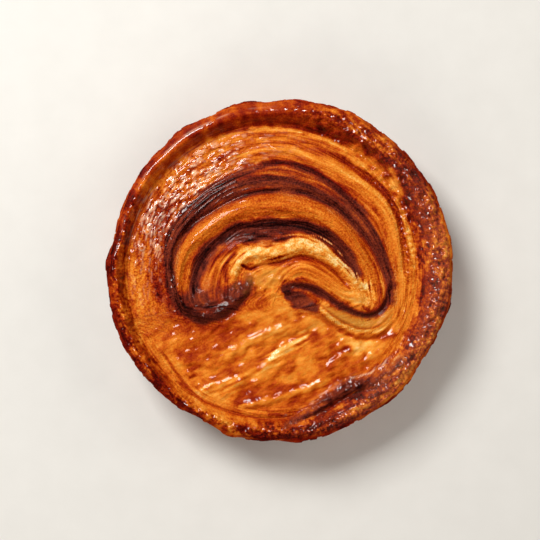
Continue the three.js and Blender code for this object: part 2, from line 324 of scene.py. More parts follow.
broad_streak = streaks(6, 30, 11)
streak = streaks(2.4, 18, 21)
fine_streak = streaks(1.4, 9, 31)
wrinkle = streaks(1.7, 4.5, 34)
thread = streaks(1.7, 28, 36)
blotch = waves(spots / 14, 41)
lump = waves(spots / 7, 51)
speck = waves(spots / 3.2, 61)
knob = waves(spots / 4.8, 63)
crumb_grain = waves(spots / 1.8, 69)
swell = waves(np.column_stack([(sheet_across + 1.5 * lump) / 9, sheet_along / 30]), 71)
print("streaks spread about", round(float(streak.std()), 2))

# %% [markdown]
# Flakes, leaves and blisters
# Thin crust breaks into flakes on the rim, the edges of the leaves stack up at the wall, and steam lifts
# blisters beside the swirl. Each could be a small object of its own, but on the cake they are one skin. So
# they are patterns on the same points: cells for what has a border, and waves for what has none.

# %% Leaves of the wall
WALL_POWER = 1.15
LEAF_DEPTH = 3.6
RIM_MIDDLE = 85

down = np.clip(row / WALL_ROWS, 0, 1)
wall_share = down**WALL_POWER
ring_spots = RIM_MIDDLE * np.column_stack([np.cos(angle), np.sin(angle)])
outwards = -ring + np.where(top, 0, RIM_HEIGHT * wall_share)
warp = waves(np.column_stack([ring_spots / 26, outwards / 18]), 81)
sag = 1.2 * waves(ring_spots / 40, 83) + 0.5 * waves(ring_spots / 15, 84)
layer = (RIM_HEIGHT * wall_share + sag) / LEAF_DEPTH
leaf_part = layer % 1
leaf_swell = waves(np.column_stack([ring_spots / 26, 5 * np.floor(layer)]), 85)
print("leaves at the wall:", int(layer.max()) + 1)

# %% Flakes, blisters and crumbs
flake_border, flake_number = cells(34, (outwards + 2 * warp) / 2.6, 3)[1:]
chip_number = cells(130, (outwards + warp) / 1.7, 5)[2]
blister_heart, blister_border, blister_number = cells(76, (grain + 0.5 * lump) / 1.3, 7)
scale_border, scale_number = cells(84, (ring + 0.6 * lump) / 1.9, 9)[1:]
crumble = waves(np.column_stack([ring_spots / 15, ring / 3.8]), 87) + 0.4 * waves(spots / 3.4, 88)
tuck_gap, tuck_share = seen["tuck"]
tuck_leaves = waves(np.column_stack([tuck_gap / 2.6, x / 18, y / 18]), 67)
print("flakes share", round(float((flake_border > 0.15).mean()), 2))

# %% [markdown]
# Browning
# One number for each point says how far it is baked: 0 is pale cream, 0.45 is gold and 1 is burnt caramel.
# In a few places it is also paler or darker as painted light and shade.
# It is painted like a picture: a ground first, then soft patches, then a stroke along each fold, and the rim
# last. A stroke's edge frays into streaks, and its browning may change along the fold and across it.

# %% Brushes
bake = np.zeros(len(spots))


def listed(values, share):
    """A value listed at even steps along a curve, at a share of its length."""
    return np.interp(share, np.linspace(0, 1, len(values)), values)


def paint(mask, value):
    """Brown the points under a mask towards a value."""
    bake[:] = bake + (value - bake) * mask


def tell(what, mask):
    """Print the mean browning under a mask."""
    print("mean browning of", what, round(float(np.average(bake, weights=mask)), 2))


def stroke(name, half, value, soft=0.35, fray=0.16, profile=(0,), streaky=0.0):
    """A stroke of browning along a fold, and its mask. Half-breadth, tone and profile are lists of values."""
    gap, share = seen[name]
    breadth = np.maximum(listed(half, share) * (1 + 0.1 * blotch), 0.3)
    reach = np.abs(gap) / breadth + fray * (0.7 * streak + 0.6 * fine_streak)
    mask = top * (1 - step_up(1 - soft, 1 + soft, reach))
    tone = listed(value, share) + listed(profile, 0.5 + 0.5 * np.clip(gap / breadth, -1, 1))
    paint(mask, tone + streaky * (0.5 * streak + 0.4 * fine_streak + 0.7 * thread))
    return mask


def patch(centre, half, tilt, value, strength=1.0):
    """An oval patch of browning with a ragged edge, and its mask."""
    c, s = math.cos(math.radians(tilt)), math.sin(math.radians(tilt))
    away_x, away_y = x - centre[0], y - centre[1]
    reach = np.hypot((away_x * c + away_y * s) / half[0], (away_y * c - away_x * s) / half[1])
    mask = top * strength * (1 - step_up(0.3, 1.4, reach + 0.14 * lump + 0.05 * speck + 0.08 * streak))
    paint(mask, value)
    return mask


def spot(centre, half):
    """A soft round mask."""
    return np.exp(-(((x - centre[0]) / half[0]) ** 2 + ((y - centre[1]) / half[1]) ** 2))


# %% [markdown]
# The ground
# Between the swirl and the rim lies a field of browned leaves. It is darker at the left, blistered at the
# upper left and paler along the rim's foot. These are areas without a sharp edge, so each is a belt between
# two distances from the rim, round one angle. Oval patches add what does not follow the rim.

# %% Ground: blisters and bubbles
def band(low, high, soft=2.0):
    """A soft mask of the ring between two distances in from the rim's foot."""
    return step_up(low - soft, low + soft, ring) * step_up(high + soft, high - soft, ring)


BUBBLES = [(-72, 11.5), (-69, 20), (-61.5, 34.5), (-64, 11.5), (-58.5, 39)]
BUBBLE_RADIUS = 1.9

blister_zone = around(140, 34) * band(2, 20, 3)
crack = step_up(0.2, 0, blister_border)
blister_top = step_up(0.5, 0.1, blister_heart) * step_up(0.25, 0.4, blister_number)
bubble = np.zeros(len(spots))
for centre in BUBBLES:
    from_centre = np.hypot(x - centre[0], y - centre[1]) / BUBBLE_RADIUS
    bubble = np.maximum(bubble, np.clip(1 - from_centre**2, 0, None))
scales = 0.2 * (scale_number - 0.5) + 0.1 * step_up(0.14, 0, scale_border)
print("bubbles:", len(BUBBLES))

# %% Ground: the field round the swirl
paint(top, 0.535 + 0.05 * streak + 0.03 * fine_streak + 0.04 * thread + 0.05 * broad_streak + scales)
# The left: a darker belt beside the swirl, painted shade, and gold beside the rim.
paint(top * around(193, 34) * band(12, 26, 3), 0.74 + 0.03 * streak + 0.05 * speck)
paint(top * around(195, 30) * band(2, 11), 0.47 + 0.05 * streak + 0.05 * speck)
# The upper left: blisters with dark cracks between them, their tops paler, partly as painted highlight.
paint(top * blister_zone, 0.5 + 0.06 * streak + 0.05 * wrinkle + 0.22 * crack - 0.14 * blister_top)
# The back: a pale line at the rim's foot, then two belts of streaks.
paint(top * around(88, 30) * band(0.5, 2.5, 1), 0.3 + 0.06 * speck)
paint(top * around(88, 32) * band(11, 15, 1.5), 0.56 + 0.06 * streak)
paint(top * around(88, 26) * band(3, 11, 1.5), 0.56 + 0.07 * streak + 0.05 * thread)
# Pale places: the foot and the crumbs at the right, flecks at the left, and the bubbles, whose pale tops are
# partly painted highlight.
paint(top * around(12, 26) * band(0, 3.5, 1), 0.3 + 0.1 * speck)
pale_crumbs = step_up(-0.8, 0.6, 0.7 * knob + 0.6 * speck)
paint(top * around(36, 30) * band(-1, 6, 2) * pale_crumbs, 0.27 + 0.08 * speck)
pale_flecks = step_up(0, 1.1, speck + 0.5 * streak)
paint(top * around(188, 13) * band(1.5, 7, 1) * pale_flecks, 0.24)
paint(step_up(0, 0.5, bubble), 0.36)

# %% Ground: patches
# Each patch has a centre, two half-lengths, a tilt in degrees, a browning and a strength.
FIELD_PATCHES = [
    ((-26, 70), (17, 5), 22, 0.32, 0.6),
    ((-62, 28), (9, 14), -28, 0.72, 0.8),
    ((-14, 57.5), (7, 2.6), 8, 0.3, 0.7),
    ((26, 54), (11, 2.6), -30, 0.72, 0.8),
    ((-43, 57), (14, 7), 38, 0.36, 0.5),
]
for values in FIELD_PATCHES:
    patch(*values)
tell("the ground", top)

# %% [markdown]
# The sheet
# Below the swirl one broad leaf lies flat. It is gold, with pale crests where it wrinkled and rusty hollows
# where the caramel ran together, and over these the crests get painted highlights and the hollows painted
# shade. Noise alone would put these anywhere, so the larger ones are listed patches, and strokes along the
# ridges make the crests.

# %% The sheet below the swirl
SHEET_PATCHES = [
    ((-43, -43), (13, 5.5), 8, 0.56, 0.9),
    # Darker under the lip of the curl: browner crust with the lip's painted shadow.
    ((-39, -29), (20, 4), 5, 0.63, 0.9),
    ((-4, -32.5), (16, 9), 10, 0.36, 0.8),
    # The next two are pale crests of ridges: paler crust with painted highlights.
    ((-5, -50), (10, 3.8), 50, 0.24, 0.8),
    ((-25, -58), (13, 4.4), 10, 0.27, 0.8),
    ((-34, -67), (10, 4), -15, 0.24, 0.9),
    ((-40, -54), (6, 4), 20, 0.28, 0.8),
    ((-27, -54.5), (8, 2.4), 15, 0.58, 0.8),
    ((-17, -69), (9, 3.6), 15, 0.72, 0.8),
    ((9, -37), (9, 3.4), 30, 0.6, 0.8),
    ((0, -62.5), (13, 5), 22, 0.58, 0.8),
    ((-3, -44.5), (7, 3), 45, 0.66, 0.9),
    ((6, -56), (7, 3.4), 10, 0.32, 0.9),
    ((25, -50), (6, 5), 20, 0.6, 0.8),
    ((-12, -24), (10, 3.5), 12, 0.24, 0.7),
    ((0, -19), (10, 5), -20, 0.24, 0.8),
    ((19, -28), (7, 5), -30, 0.24, 0.9),
    ((-50, -45), (6, 5), -40, 0.62, 0.8),
    ((-15, -45), (6, 4), 20, 0.32, 0.8),
    ((27, -58), (8, 3), 22, 0.7, 0.8),
    ((40, -43.5), (5, 3), 0, 0.14, 0.9),
    ((-28, -26), (8, 2.4), 35, 0.66, 0.7),
    ((14, -50), (7, 8), 0, 0.32, 0.9),
    ((36, -50.5), (18, 5), 8, 0.54, 0.9),
    ((37, -37.5), (8, 3.4), -35, 0.2, 0.9),
    ((45.5, -40.5), (9, 4.6), 5, 0.12, 0.9),
    ((-57, -50), (17, 5), -48, 0.32, 0.9),
    ((-62, -28), (6, 14), 10, 0.46, 0.8),
]
# The sheet's browning follows its swell: paler on the crests and darker in the hollows, as painted light and
# shade.
paint(top * sheet, 0.515 - 0.05 * swell + 0.03 * blotch + 0.02 * streak)
for values in SHEET_PATCHES:
    patch(*values)
# Pale strokes along the ridges: paler crust with painted highlights on the crests.
stroke("ridge_middle", [1.6, 2.4, 1.8], [0.28, 0.22, 0.3], soft=0.9, fray=0.7, streaky=0.1)
stroke("ridge_left", [2.2, 2, 1.4], [0.2, 0.34, 0.46], soft=0.8, fray=0.6, streaky=0.1)
stroke("ridge_low", [1, 1.6, 1], [0.36], soft=0.8, fray=0.6)
stroke("ridge_upper", [1.2, 1.6, 1.2], [0.26], soft=0.8, fray=0.6)
tell("the sheet", sheet * top)

# %% [markdown]
# The swirl
# The swirl shows the leaves edge on. The edges that stood proud are burnt, and the leaves between them are
# amber or cream. An image wrapped over the cake could show them, but nobody could move a fold in it. So each
# leaf is a stroke along its fold, from the outside inwards, with its breadth and browning listed along it.

# %% Strokes: the outer leaves and the dark arch
stroke("gold_leaf", [2.5, 4, 5, 5.5, 5, 4], [0.5, 0.48, 0.44, 0.4, 0.38, 0.4], streaky=0.05,
       profile=[0.1, -0.04, -0.16, 0, 0.04, 0.08])
# The grey valley is painted dark along its hollow: its own grey-brown with painted shade.
stroke("grey_valley", [0.8, 1.8, 2, 1.6, 1], [0.66, 0.72, 0.74, 0.64, 0.56], streaky=0.04)
patch((-31, 50), (13, 4), 33, 0.34, 0.6)
arch = stroke("dark_arch", [2, 3, 5.2, 5.6, 6.8, 6.4, 5, 3.4, 2.4],
              [0.86, 0.88, 0.87, 0.82, 0.74, 0.68, 0.7, 0.74], fray=0.2, streaky=0.09)
stripe = stroke("arch_stripe", [0.8, 1.9, 2.1, 2, 1.6, 0.8], [0.72, 0.62, 0.6, 0.64, 0.7], soft=0.7,
                fray=0.35, streaky=0.06)
stroke("outer_line", [1.2, 1.6, 1.7, 1.8, 1.6, 1.6, 1.6], [0.84, 0.9, 0.92, 0.88, 0.84, 0.84, 0.88], soft=0.6,
       streaky=0.05)
stroke("middle_line", [1.1], [0.88], soft=0.6, fray=0.3)
arch_edge = stroke("arch_crease", [2.4, 2.4, 1.8, 1.6, 1.5, 1.3, 1.4, 1.5, 1.3, 1.2],
                   [0.93, 0.95, 0.95, 0.9, 0.82], soft=0.5)
tell("the dark arch", arch)

# %% Strokes: the amber roll and the dark arch inside it
amber = stroke("amber_roll", [1.4, 3, 5, 5.6, 6, 6.2, 6, 5.4, 5, 4.6, 4.2],
               [0.6, 0.48, 0.44, 0.45, 0.5, 0.52, 0.48, 0.46, 0.46, 0.48, 0.46], fray=0.12,
               profile=[0.18, 0.04, -0.03, -0.02, 0.02, 0.1], streaky=0.04)
inner_arch = stroke("dark_inner", [2.8, 3.8, 4.2, 3.8, 3.4, 3.4, 3.4, 3.4, 3.6, 2.6],
                    [0.84, 0.9, 0.93, 0.94, 0.96, 0.96, 0.96, 0.92, 0.86, 0.8], soft=0.45, fray=0.12,
                    streaky=0.05)
fan = patch((-31, 3), (8, 12), -35, 0.56)
bake += fan * 0.13 * (streak + 0.6 * fine_streak)
wrinkled = patch((-11, 17.5), (17, 4.4), 4, 0.9)
bake += wrinkled * 0.06 * (streak + fine_streak)
tell("the amber roll", amber)

# %% Strokes: the cream leaf, the orange leaf and the folds below them
patch((-9, -3.5), (12, 6), 20, 0.22)
patch((-11, -15), (8, 6), -30, 0.6, 0.8)
patch((-3, -12), (5, 4), 30, 0.26, 0.8)
middle = top * spot((-5, -6), (13, 8))
crumple = 1 - np.clip(np.abs(waves(np.column_stack([sheet_across / 4, sheet_along / 9]), 65)), 0, 1)
bake -= middle * 0.26 * (crumple - 0.5)
cream = stroke("cream_leaf", [1.8, 3.8, 4.6, 4.9, 5.3, 4.8, 3.8, 3.4, 4],
               [0.34, 0.22, 0.17, 0.2, 0.17, 0.15, 0.16, 0.22, 0.26], soft=0.2, fray=0.34,
               profile=[0.02, -0.08, 0, 0.1, 0.3], streaky=0.05)
bake += cream * (0.06 * speck + 0.07 * lump)
patch((0.5, 16), (4, 2.2), 12, 0.88, 0.8)
patch((-8, 14), (5, 1.8), 8, 0.3, 0.7)
orange = stroke("orange_leaf", [2.1, 5.4, 5.6, 4.6, 2.6], [0.42, 0.46, 0.44, 0.26, 0.2],
                profile=[0.08, 0, 0, -0.04], streaky=0.06)
stroke("leaf_crease", [0.9, 0.8, 0.7], [0.84, 0.76, 0.66, 0.62], soft=0.6)
# The lens is painted darker along its upper edge, under the dark fold: painted shade.
lens = stroke("lens", [1.5, 3.8, 4.6, 3.6, 1], [0.3], profile=[0.12, -0.02, -0.06, -0.14, -0.1], streaky=0.07)
stroke("lens_line", [0.4, 0.8, 0.8, 0.5], [0.56], soft=0.6)
flap = stroke("flap", [1.5, 4.8, 2.6], [0.9, 0.86, 0.8], streaky=0.05)
patch((17.5, -14), (3, 2.6), -30, 0.6, 0.8)
dark_fold = stroke("dark_fold", [1.5, 1.8, 2, 2.2, 2.1, 1.7, 1.5, 1.5, 1.6, 1.4],
                   [0.86, 0.9, 0.88, 0.9, 0.94], soft=0.6)
stroke("red_crease", [0.8, 1.2, 1.2, 1.4, 1.3], [0.4, 0.56, 0.6, 0.66], soft=0.6)
patch((63, -12), (4, 13), -5, 0.3, 0.7)
patch((59, -28), (6, 5), 30, 0.3, 0.8)
above_line = step_up(0.5, -0.5, seen["lens_line"][0])
khaki = np.maximum(lens * above_line, patch((-8, -4), (11, 6), 20, 0.28, 0.8))
tell("the cream leaf", cream)

# %% Strokes: the curl at the left
curl = patch((-42, -16), (13, 9), 10, 0.84)
curl = np.maximum(curl, patch((-24, -13.5), (13, 6), 40, 0.84))
bake += curl * 0.06 * (streak + fine_streak)
lip = stroke("lip", [1.8, 2.2, 2.8, 3, 3, 3.4, 3.4, 2.2], [0.88, 0.9, 0.92, 0.92, 0.9, 0.86, 0.82, 0.78],
             soft=0.45, streaky=0.05)
umber = np.maximum.reduce([arch, arch_edge, inner_arch, wrinkled, flap, dark_fold, curl, lip])
umber *= 1 - 0.7 * stripe
patch((-38.5, -6), (4.6, 5.4), 0, 0.5, 0.9)
print("browning from", round(float(bake.min()), 2), "to", round(float(bake.max()), 2))

# %% [markdown]
# The rim
# The rim bakes hardest. It is red-brown caramel, smooth and glossy at the back, broken into plates at the
# left and into crumbs at the right. Its browning changes all round, so it is listed at some angles, once for
# the inner slope and once for the crest, and the flakes, chips and crumbs vary it. At the shoulder the wall
# takes over, which is browner towards the base.

# %% Rim: browning round the cake
DARKEST_RIM = 0.86
# On the inner slope at the upper left and at the left, which faces away from the key light, the tones are
# listed paler: painted light against its shade.
SLOPE_TONE = {0: 0.52, 20: 0.75, 50: 0.74, 75: 0.74, 110: 0.75, 128: 0.62, 150: 0.54, 170: 0.7, 187: 0.64,
              198: 0.44, 208: 0.46, 222: 0.7, 240: 0.46, 252: 0.46, 268: 0.64, 285: 0.54, 310: 0.44,
              340: 0.58}
CREST_TONE = {0: 0.5, 10: 0.4, 22: 0.5, 34: 0.72, 50: 0.58, 62: 0.54, 85: 0.58, 105: 0.63, 120: 0.62,
              140: 0.73, 164: 0.8, 176: 0.82, 190: 0.82, 218: 0.78, 230: 0.66, 245: 0.56, 262: 0.72,
              285: 0.78, 294: 0.62, 302: 0.46, 312: 0.42, 322: 0.54, 338: 0.52, 352: 0.62}


def listed_round(values):
    """A value listed at some angles, at each point's angle round the cake."""
    return np.interp(degrees, list(values), list(values.values()), period=360)


inset = girth - radius
climb = step_up(0, CLIMB_SHARE, -ring / (girth - SHOULDER_INSET - foot))
# The shoulder is painted paler at three angles, where it turns away from the key light: painted light.
painted_light_edge = step_up(6, 3.5, inset) * (around(0, 17) + 0.9 * around(247, 9) + 0.5 * around(52, 10))
smooth_rim = np.clip(around(100, 22) + around(130, 32), 0, 1)
crumbly_rim = np.clip(around(5, 50) + around(325, 30) + 0.8 * around(275, 24), 0, 1)
plated_rim = (1 - 0.85 * smooth_rim) * (1 - 0.6 * crumbly_rim)
print("the rim stands", round(float(np.max(girth - foot)), 1), "mm broad at most")

# %% Rim: plates, chips and crumbs
crest = step_up(5.5, 8.5, outwards + 0.6 * blotch)
rim_tone = listed_round(SLOPE_TONE) * (1 - crest) + listed_round(CREST_TONE) * crest
rim_tone += plated_rim * (0.32 * (flake_number - 0.45) + 0.12 * step_up(0.12, 0, flake_border))
rim_tone += 0.18 * (1 - smooth_rim) * (chip_number - 0.45) + 0.03 * blotch + 0.03 * lump - 0.03 * knob
rim_tone -= 0.07 * (1 - smooth_rim) * top * crumb_grain + 0.14 * painted_light_edge
rim_tone += top * crumbly_rim * (0.18 * step_up(0.3, 0.7, -crumble) - 0.08 * step_up(0.2, 1, crumble))
below_tuck = step_up(2, 5, tuck_gap) * step_up(15, 10, tuck_gap) * step_up(0, 0.15, tuck_share)
below_tuck *= step_up(1, 0.85, tuck_share) * top
rim_tone = np.minimum(rim_tone + 0.14 * below_tuck * tuck_leaves, DARKEST_RIM)
paint(top * step_up(-1.2, 1.8, outwards + 0.4 * lump), rim_tone)
red_slope = top * around(62, 26) * step_up(-0.5, 1, outwards + 0.6 * lump) * step_up(8.5, 6, outwards + lump)
paint(red_slope, 0.75 + 0.05 * lump + 0.03 * wrinkle)
tell("the rim", climb * top)

# %% Rim: patches and the tucked leaf
RIM_PATCHES = [
    ((75, 28), (15, 4.2), 110, 0.78, 0.6),
    ((77, -12), (10, 3.4), 84, 0.74, 0.4),
    ((-74, 12), (2.6, 8), 8, 0.62, 0.6),
    ((75, -27), (8, 3), 75, 0.74, 0.6),
    # A very pale patch at the upper right: gold flakes with a painted glint.
    ((60, 43.5), (6, 3), -55, 0.14, 0.9),
    ((48, 56), (9, 2.4), -42, 0.36, 0.8),
    ((58, 51.5), (3, 2), -45, 0.26, 0.8),
    ((40, 63), (6, 2.6), -35, 0.34, 0.7),
    ((68, -20), (3.2, 14), -14, 0.36, 0.8),
    ((72, -3), (5, 4), 20, 0.44, 0.6),
    ((34, -63), (8, 3), 25, 0.5, 0.5),
    ((20, -74), (7, 2.6), 20, 0.5, 0.6),
    ((-30, -73), (18, 3.4), -20, 0.32, 0.9),
    ((-12, -76), (10, 2.4), -5, 0.36, 0.9),
    ((-56, -58), (9, 3.2), -42, 0.42, 0.7),
    ((28, -75), (9, 3.4), 25, 0.84, 0.8),
]
for values in RIM_PATCHES:
    patch(*values)


def line_at(measure, wanted, half):
    """A thin soft line where a measure has the wanted value."""
    return np.exp(-(((measure - wanted) / half) ** 2))


# The tucked leaf is painted paler along its upper edge and darker along its lower edge: painted light and
# shade across the roll.
tuck = stroke("tuck", [1, 3.1, 4.7, 4.1, 2.1], [0.68, 0.76, 0.84, 0.72, 0.56],
              profile=[-0.14, 0, 0.02, 0.08], streaky=0.06)
bake += tuck * (0.06 * tuck_leaves + 0.05 * speck)
# The crease below it is cut into the mesh, and its colour is darkened as painted shade.
shaded_tuck_crease = top * line_at(tuck_gap, 4.8, 0.9) * step_up(0.1, 0.3, tuck_share)
shaded_tuck_crease *= step_up(0.95, 0.8, tuck_share)
paint(0.7 * shaded_tuck_crease, 0.82)
umber = np.maximum(umber, tuck)
stroke("groove", [0.7], [0.62], soft=0.6)
tell("the tucked leaf", tuck)

# %% Wall
seam = step_up(0.2, 0, leaf_part) + step_up(0.85, 1, leaf_part)
wall_tone = 0.6 + 0.2 * wall_share**3 + 0.07 * leaf_swell + 0.12 * seam
wall_tone += 0.05 * waves(np.column_stack([ring_spots / 20, outwards / 12]), 86)
shoulder_blend = step_up(0, 0.15, down)
wall_tone = rim_tone + (wall_tone - rim_tone) * shoulder_blend
bake[:] = np.clip(np.where(top, bake, wall_tone), 0, 1)
khaki *= top
tell("the wall", ~top)

# %% [markdown]
# Bloom and painted glints
# Where the thin crust dried, or the sugar set in a film, it is paler and a little pink. That bloom sits on
# the blisters, the rings of the bubbles and the edge of the tucked leaf, and painted glints lie in it there:
# on the blister tops, on the bubbles' rims and as a bright line along the leaf's edge. The two lines of the
# rim at the upper left, at its foot and on its crest, are painted highlights only. The right of the rim has a
# trace of pale film. It could be a lower value of the browning, but it is not a lighter brown: it is a pale
# film with glints over it, so it is kept apart.

# %% Bloom and painted glints
def fading(share, part):
    """1 along a fold, which fades to 0 over a part of its length at each end."""
    return step_up(0, part, share) * step_up(1, 1 - part, share)


def edge_line(name, offset, half):
    """A thin soft line beside a fold, which fades at the fold's ends."""
    gap, share = seen[name]
    return line_at(gap, offset, half) * fading(share, 0.12)


broken = step_up(-0.6, 0.6, streak + 0.5 * lump)
films_and_glints = [
    # Pale film on the blister tops, with painted glints.
    1.2 * step_up(0.76, 0.62, bake) * blister_zone * blister_top * step_up(-1.6, 0.2, lump + 0.6 * streak),
    # Pale rings round the bubbles, with painted glints.
    0.5 * step_up(0.1, 0.4, bubble) * step_up(0.9, 0.6, bubble),
    # Painted highlights: a bright line at the rim's foot and one on its crest, at the upper left.
    0.8 * around(148, 14) * line_at(outwards, 0.6, 0.3) * broken,
    0.4 * around(128, 26) * line_at(inset, 4.2, 0.45) * broken,
    0.05 * climb * np.clip(around(0, 40) + around(320, 30), 0, 1),
    # The pale edge of the tucked leaf, with a painted bright line along it.
    0.7 * edge_line("tuck", -4.4 + 0.4 * lump, 0.35) * broken,
]
bloom = top * np.clip(np.maximum.reduce(films_and_glints), 0, 1)
print("bloom covers", round(float(bloom[top].mean()) * 100, 1), "per cent of the top")

# %% [markdown]
# Pressing the top
# Now the top gets its height: a slight dome, a low mound under the swirl, and each fold as a roll that stands
# up, a crease that cuts down or a ledge that drops on one side. Sculpting could do this, but the curves that
# the browning follows already say where the folds are, so a fold's height comes from the distance to its
# curve, and colour and shape stay together. Outside its foot the rim climbs to a crest and rounds over the
# shoulder.

# %% Folds as rolls, creases and ledges
# Rolls and creases have half-breadths along the fold and a rise. Ledges have a drop, a sharpness and a reach.
ROLLS = {
    "dark_arch": ([2, 3, 5.6, 6.8, 7, 6.4, 5.6, 4.6, 3], 0.9),
    "amber_roll": ([1.6, 3.2, 5, 6, 6.6, 6.4, 5.8, 5.2, 4.5], 2.4),
    "cream_leaf": ([1.5, 3.4, 3.8, 4.2, 5, 4.6, 3.6, 2.8, 2], 1.9),
    "orange_leaf": ([2.5, 6, 6, 5, 3], 1.7),
    "lens": ([1.5, 3.8, 4.6, 4.2, 2], 1),
    "lip": ([2, 2.6, 3.2, 3.4, 3.6, 3.6, 3.4, 2.4], 1.3),
    "gold_leaf": ([2, 3.5, 4.5, 4.5, 3.5, 2.5], 0.9),
    "tuck": ([1.6, 4, 5.2, 4.6, 2.1], 3),
    "ridge_middle": ([3.6], 0.9),
    "ridge_left": ([3.4], 0.9),
    "ridge_low": ([3], 1.2),
    "ridge_upper": ([3.2], 0.9),
    "ridge_right": ([3.2], 1),
}
CREASES = {
    "outer_line": ([1.6], -0.6),
    "arch_crease": ([1.5], -1.5),
    "dark_inner": ([2.6, 3.4, 3.6, 3.2, 3, 3, 3, 3, 2.6, 2], -2.4),
    "leaf_crease": ([1.1], -1.5),
    "dark_fold": ([1.6, 2, 2.2, 2.3, 2.3, 2, 1.7, 1.6, 1.6, 1.4], -1.7),
    "red_crease": ([1.2], -1.1),
    "grey_valley": ([1.2, 2.2, 2, 1.6], -1.1),
    "groove": ([1.2], -0.8),
}
LEDGES = {"lip": (2.2, 1.2, 9), "dark_fold": (1.4, 1.2, 8), "red_crease": (0.8, 1, 6)}

folds = np.zeros(len(spots))
for name, (half, rise) in ROLLS.items():
    gap, share = seen[name]
    folds += rise * fading(share, 0.1) * np.clip(1 - (gap / listed(half, share)) ** 2, 0, None) ** 2
for name, (half, rise) in CREASES.items():
    gap, share = seen[name]
    folds += rise * fading(share, 0.06) * np.exp(-((gap / listed(half, share)) ** 2))
for name, (drop, sharp, reach) in LEDGES.items():
    gap, share = seen[name]
    ledge_side = 0.5 * (1 - np.tanh(gap / sharp))
    folds += drop * fading(share, 0.15) * ledge_side * np.exp(-((np.clip(-gap, 0, None) / reach) ** 2))
print("folds from", round(float(folds.min()), 2), "to", round(float(folds.max()), 2), "mm")

# %% Dome, mound and rim
MOUND_RISE, MOUND_CENTRE, MOUND_HALF = 2.5, (-2, 20), (64, 48)

dome = DOME_RISE * (1 - (radius / FOOT_RADIUS) ** 2)
mound_reach = ((x - MOUND_CENTRE[0]) / MOUND_HALF[0]) ** 2 + ((y - MOUND_CENTRE[1]) / MOUND_HALF[1]) ** 2
mound = MOUND_RISE * np.clip(1 - mound_reach, 0, None) ** 2
over = np.clip((radius - girth + CREST_INSET) / (CREST_INSET - SHOULDER_INSET), 0, None)
rim_wave = 0.5 * np.sin(2 * angle + 0.6) + 0.4 * np.sin(5 * angle + 2.1)
rim_wave += 0.4 * np.sin(11 * angle + 0.15 * radius + 4.4)
rim_height = RIM_HEIGHT + rim_wave - SHOULDER_DROP * over**2
sheet_height = SHEET_HEIGHT + dome + mound + folds
height = sheet_height + (rim_height - sheet_height) * climb
print("top from", round(float(height[top].min()), 1), "to", round(float(height[top].max()), 1), "mm")

# %% [markdown]
# Crust in relief
# Fine relief is what catches the light on caramel: ridges along the leaves, blisters where steam lifted the
# thin crust, and flakes on the rim. It is modelled in the mesh down to about two millimetres, and only what
# is finer is left to the bump map.

# %% Relief inside the rim
inside = 1 - climb
leaf_ridges = 0.16 * streak + 0.08 * fine_streak + 0.12 * umber * thread
sheet_ridges = 0.28 * swell + 0.2 * lump + 0.06 * streak + 0.09 * speck
ridges = leaf_ridges + (sheet_ridges - leaf_ridges) * sheet
blister = np.clip(1 - (blister_heart / 0.62) ** 2, 0, None) * step_up(0.1, 0.5, blister_number)
blisters = blister_zone * (0.58 * blister + 0.22 * wrinkle - 0.22 * crack) + 0.7 * bubble
scaly = 0.3 * (scale_number - 0.5) * (1 - sheet) * band(1, 16)
crumbs = (0.24 * speck + 0.2 * knob) * around(28, 34) * band(-1, 7)
relief = inside * (ridges + blisters + scaly + crumbs)
relief += np.maximum(curl, lip) * (0.16 * wrinkle + 0.1 * speck)
relief += 0.7 * middle * crumple + wrinkled * (0.16 * wrinkle + 0.14 * fine_streak)
print("relief inside the rim spreads", round(float(relief[top].std()), 2), "mm")

# %% Relief of the rim
foot_lip = 0.6 * around(143, 22) * line_at(outwards, 0, 1)
plates = plated_rim * (0.9 * (flake_number - 0.5) - 0.5 * np.exp(-((flake_border / 0.12) ** 2)))
plates += 0.3 * (1 - smooth_rim) * (chip_number - 0.5)
crags = crumbly_rim * (0.42 * crumble + 0.18 * speck + 0.15 * knob)
crest_line = 0.5 * around(130, 34) * line_at(inset, 4.4, 1)
relief += foot_lip
relief += climb * (plates + crags + crest_line + (1 - smooth_rim) * (0.15 * speck + 0.12 * crumb_grain))
relief += red_slope * (0.26 * wrinkle + 0.2 * speck + 0.36 * knob) + 0.3 * climb * (1 - smooth_rim) * knob
relief += 0.4 * below_tuck * tuck_leaves - 0.7 * shaded_tuck_crease
relief += tuck * (0.3 * tuck_leaves + 0.2 * speck + 0.16 * crumb_grain)
# Wet knobs, each at a centre with two half-lengths, and one torn plate that stands proud at the left.
PLATE_RISE = 1.1
WET_SPOTS = {(51, -54): (6, 4), (58, 50): (9, 4), (66, 33): (5, 9), (-79, 12): (4, 9), (33, -62): (8, 4)}
wet = top * sum(spot(centre, half) for centre, half in WET_SPOTS.items())
relief += wet * (0.3 * knob + 0.2 * speck)
torn_plate = step_up(169.5, 172, degrees) * step_up(194, 182, degrees) * step_up(0.5, 5, outwards)
relief += PLATE_RISE * torn_plate
height = height + relief
print("all relief spreads", round(float(relief[top].std()), 2), "mm")

# %% [markdown]
# The wall
# Baked leaves show at the side as stacked, wavy ledges, a few millimetres each. Rings stacked on each other
# would leave gaps between them, so the leaves are ledges of one wall. Its rows follow the slope of the tin
# from the girth to the narrower base, and each leaf swells out a little and tucks in at the seam below it.

# %% Shape of the wall
TAPER_POWER = 1.5
OVER_SHARE = 0.035
UNDER_INSET, UNDER_SHARE = 1.6, 0.03
LEAF_WAVE, LEAF_BULGE, LEAF_TUCK = 0.5, 1.5, 1.1

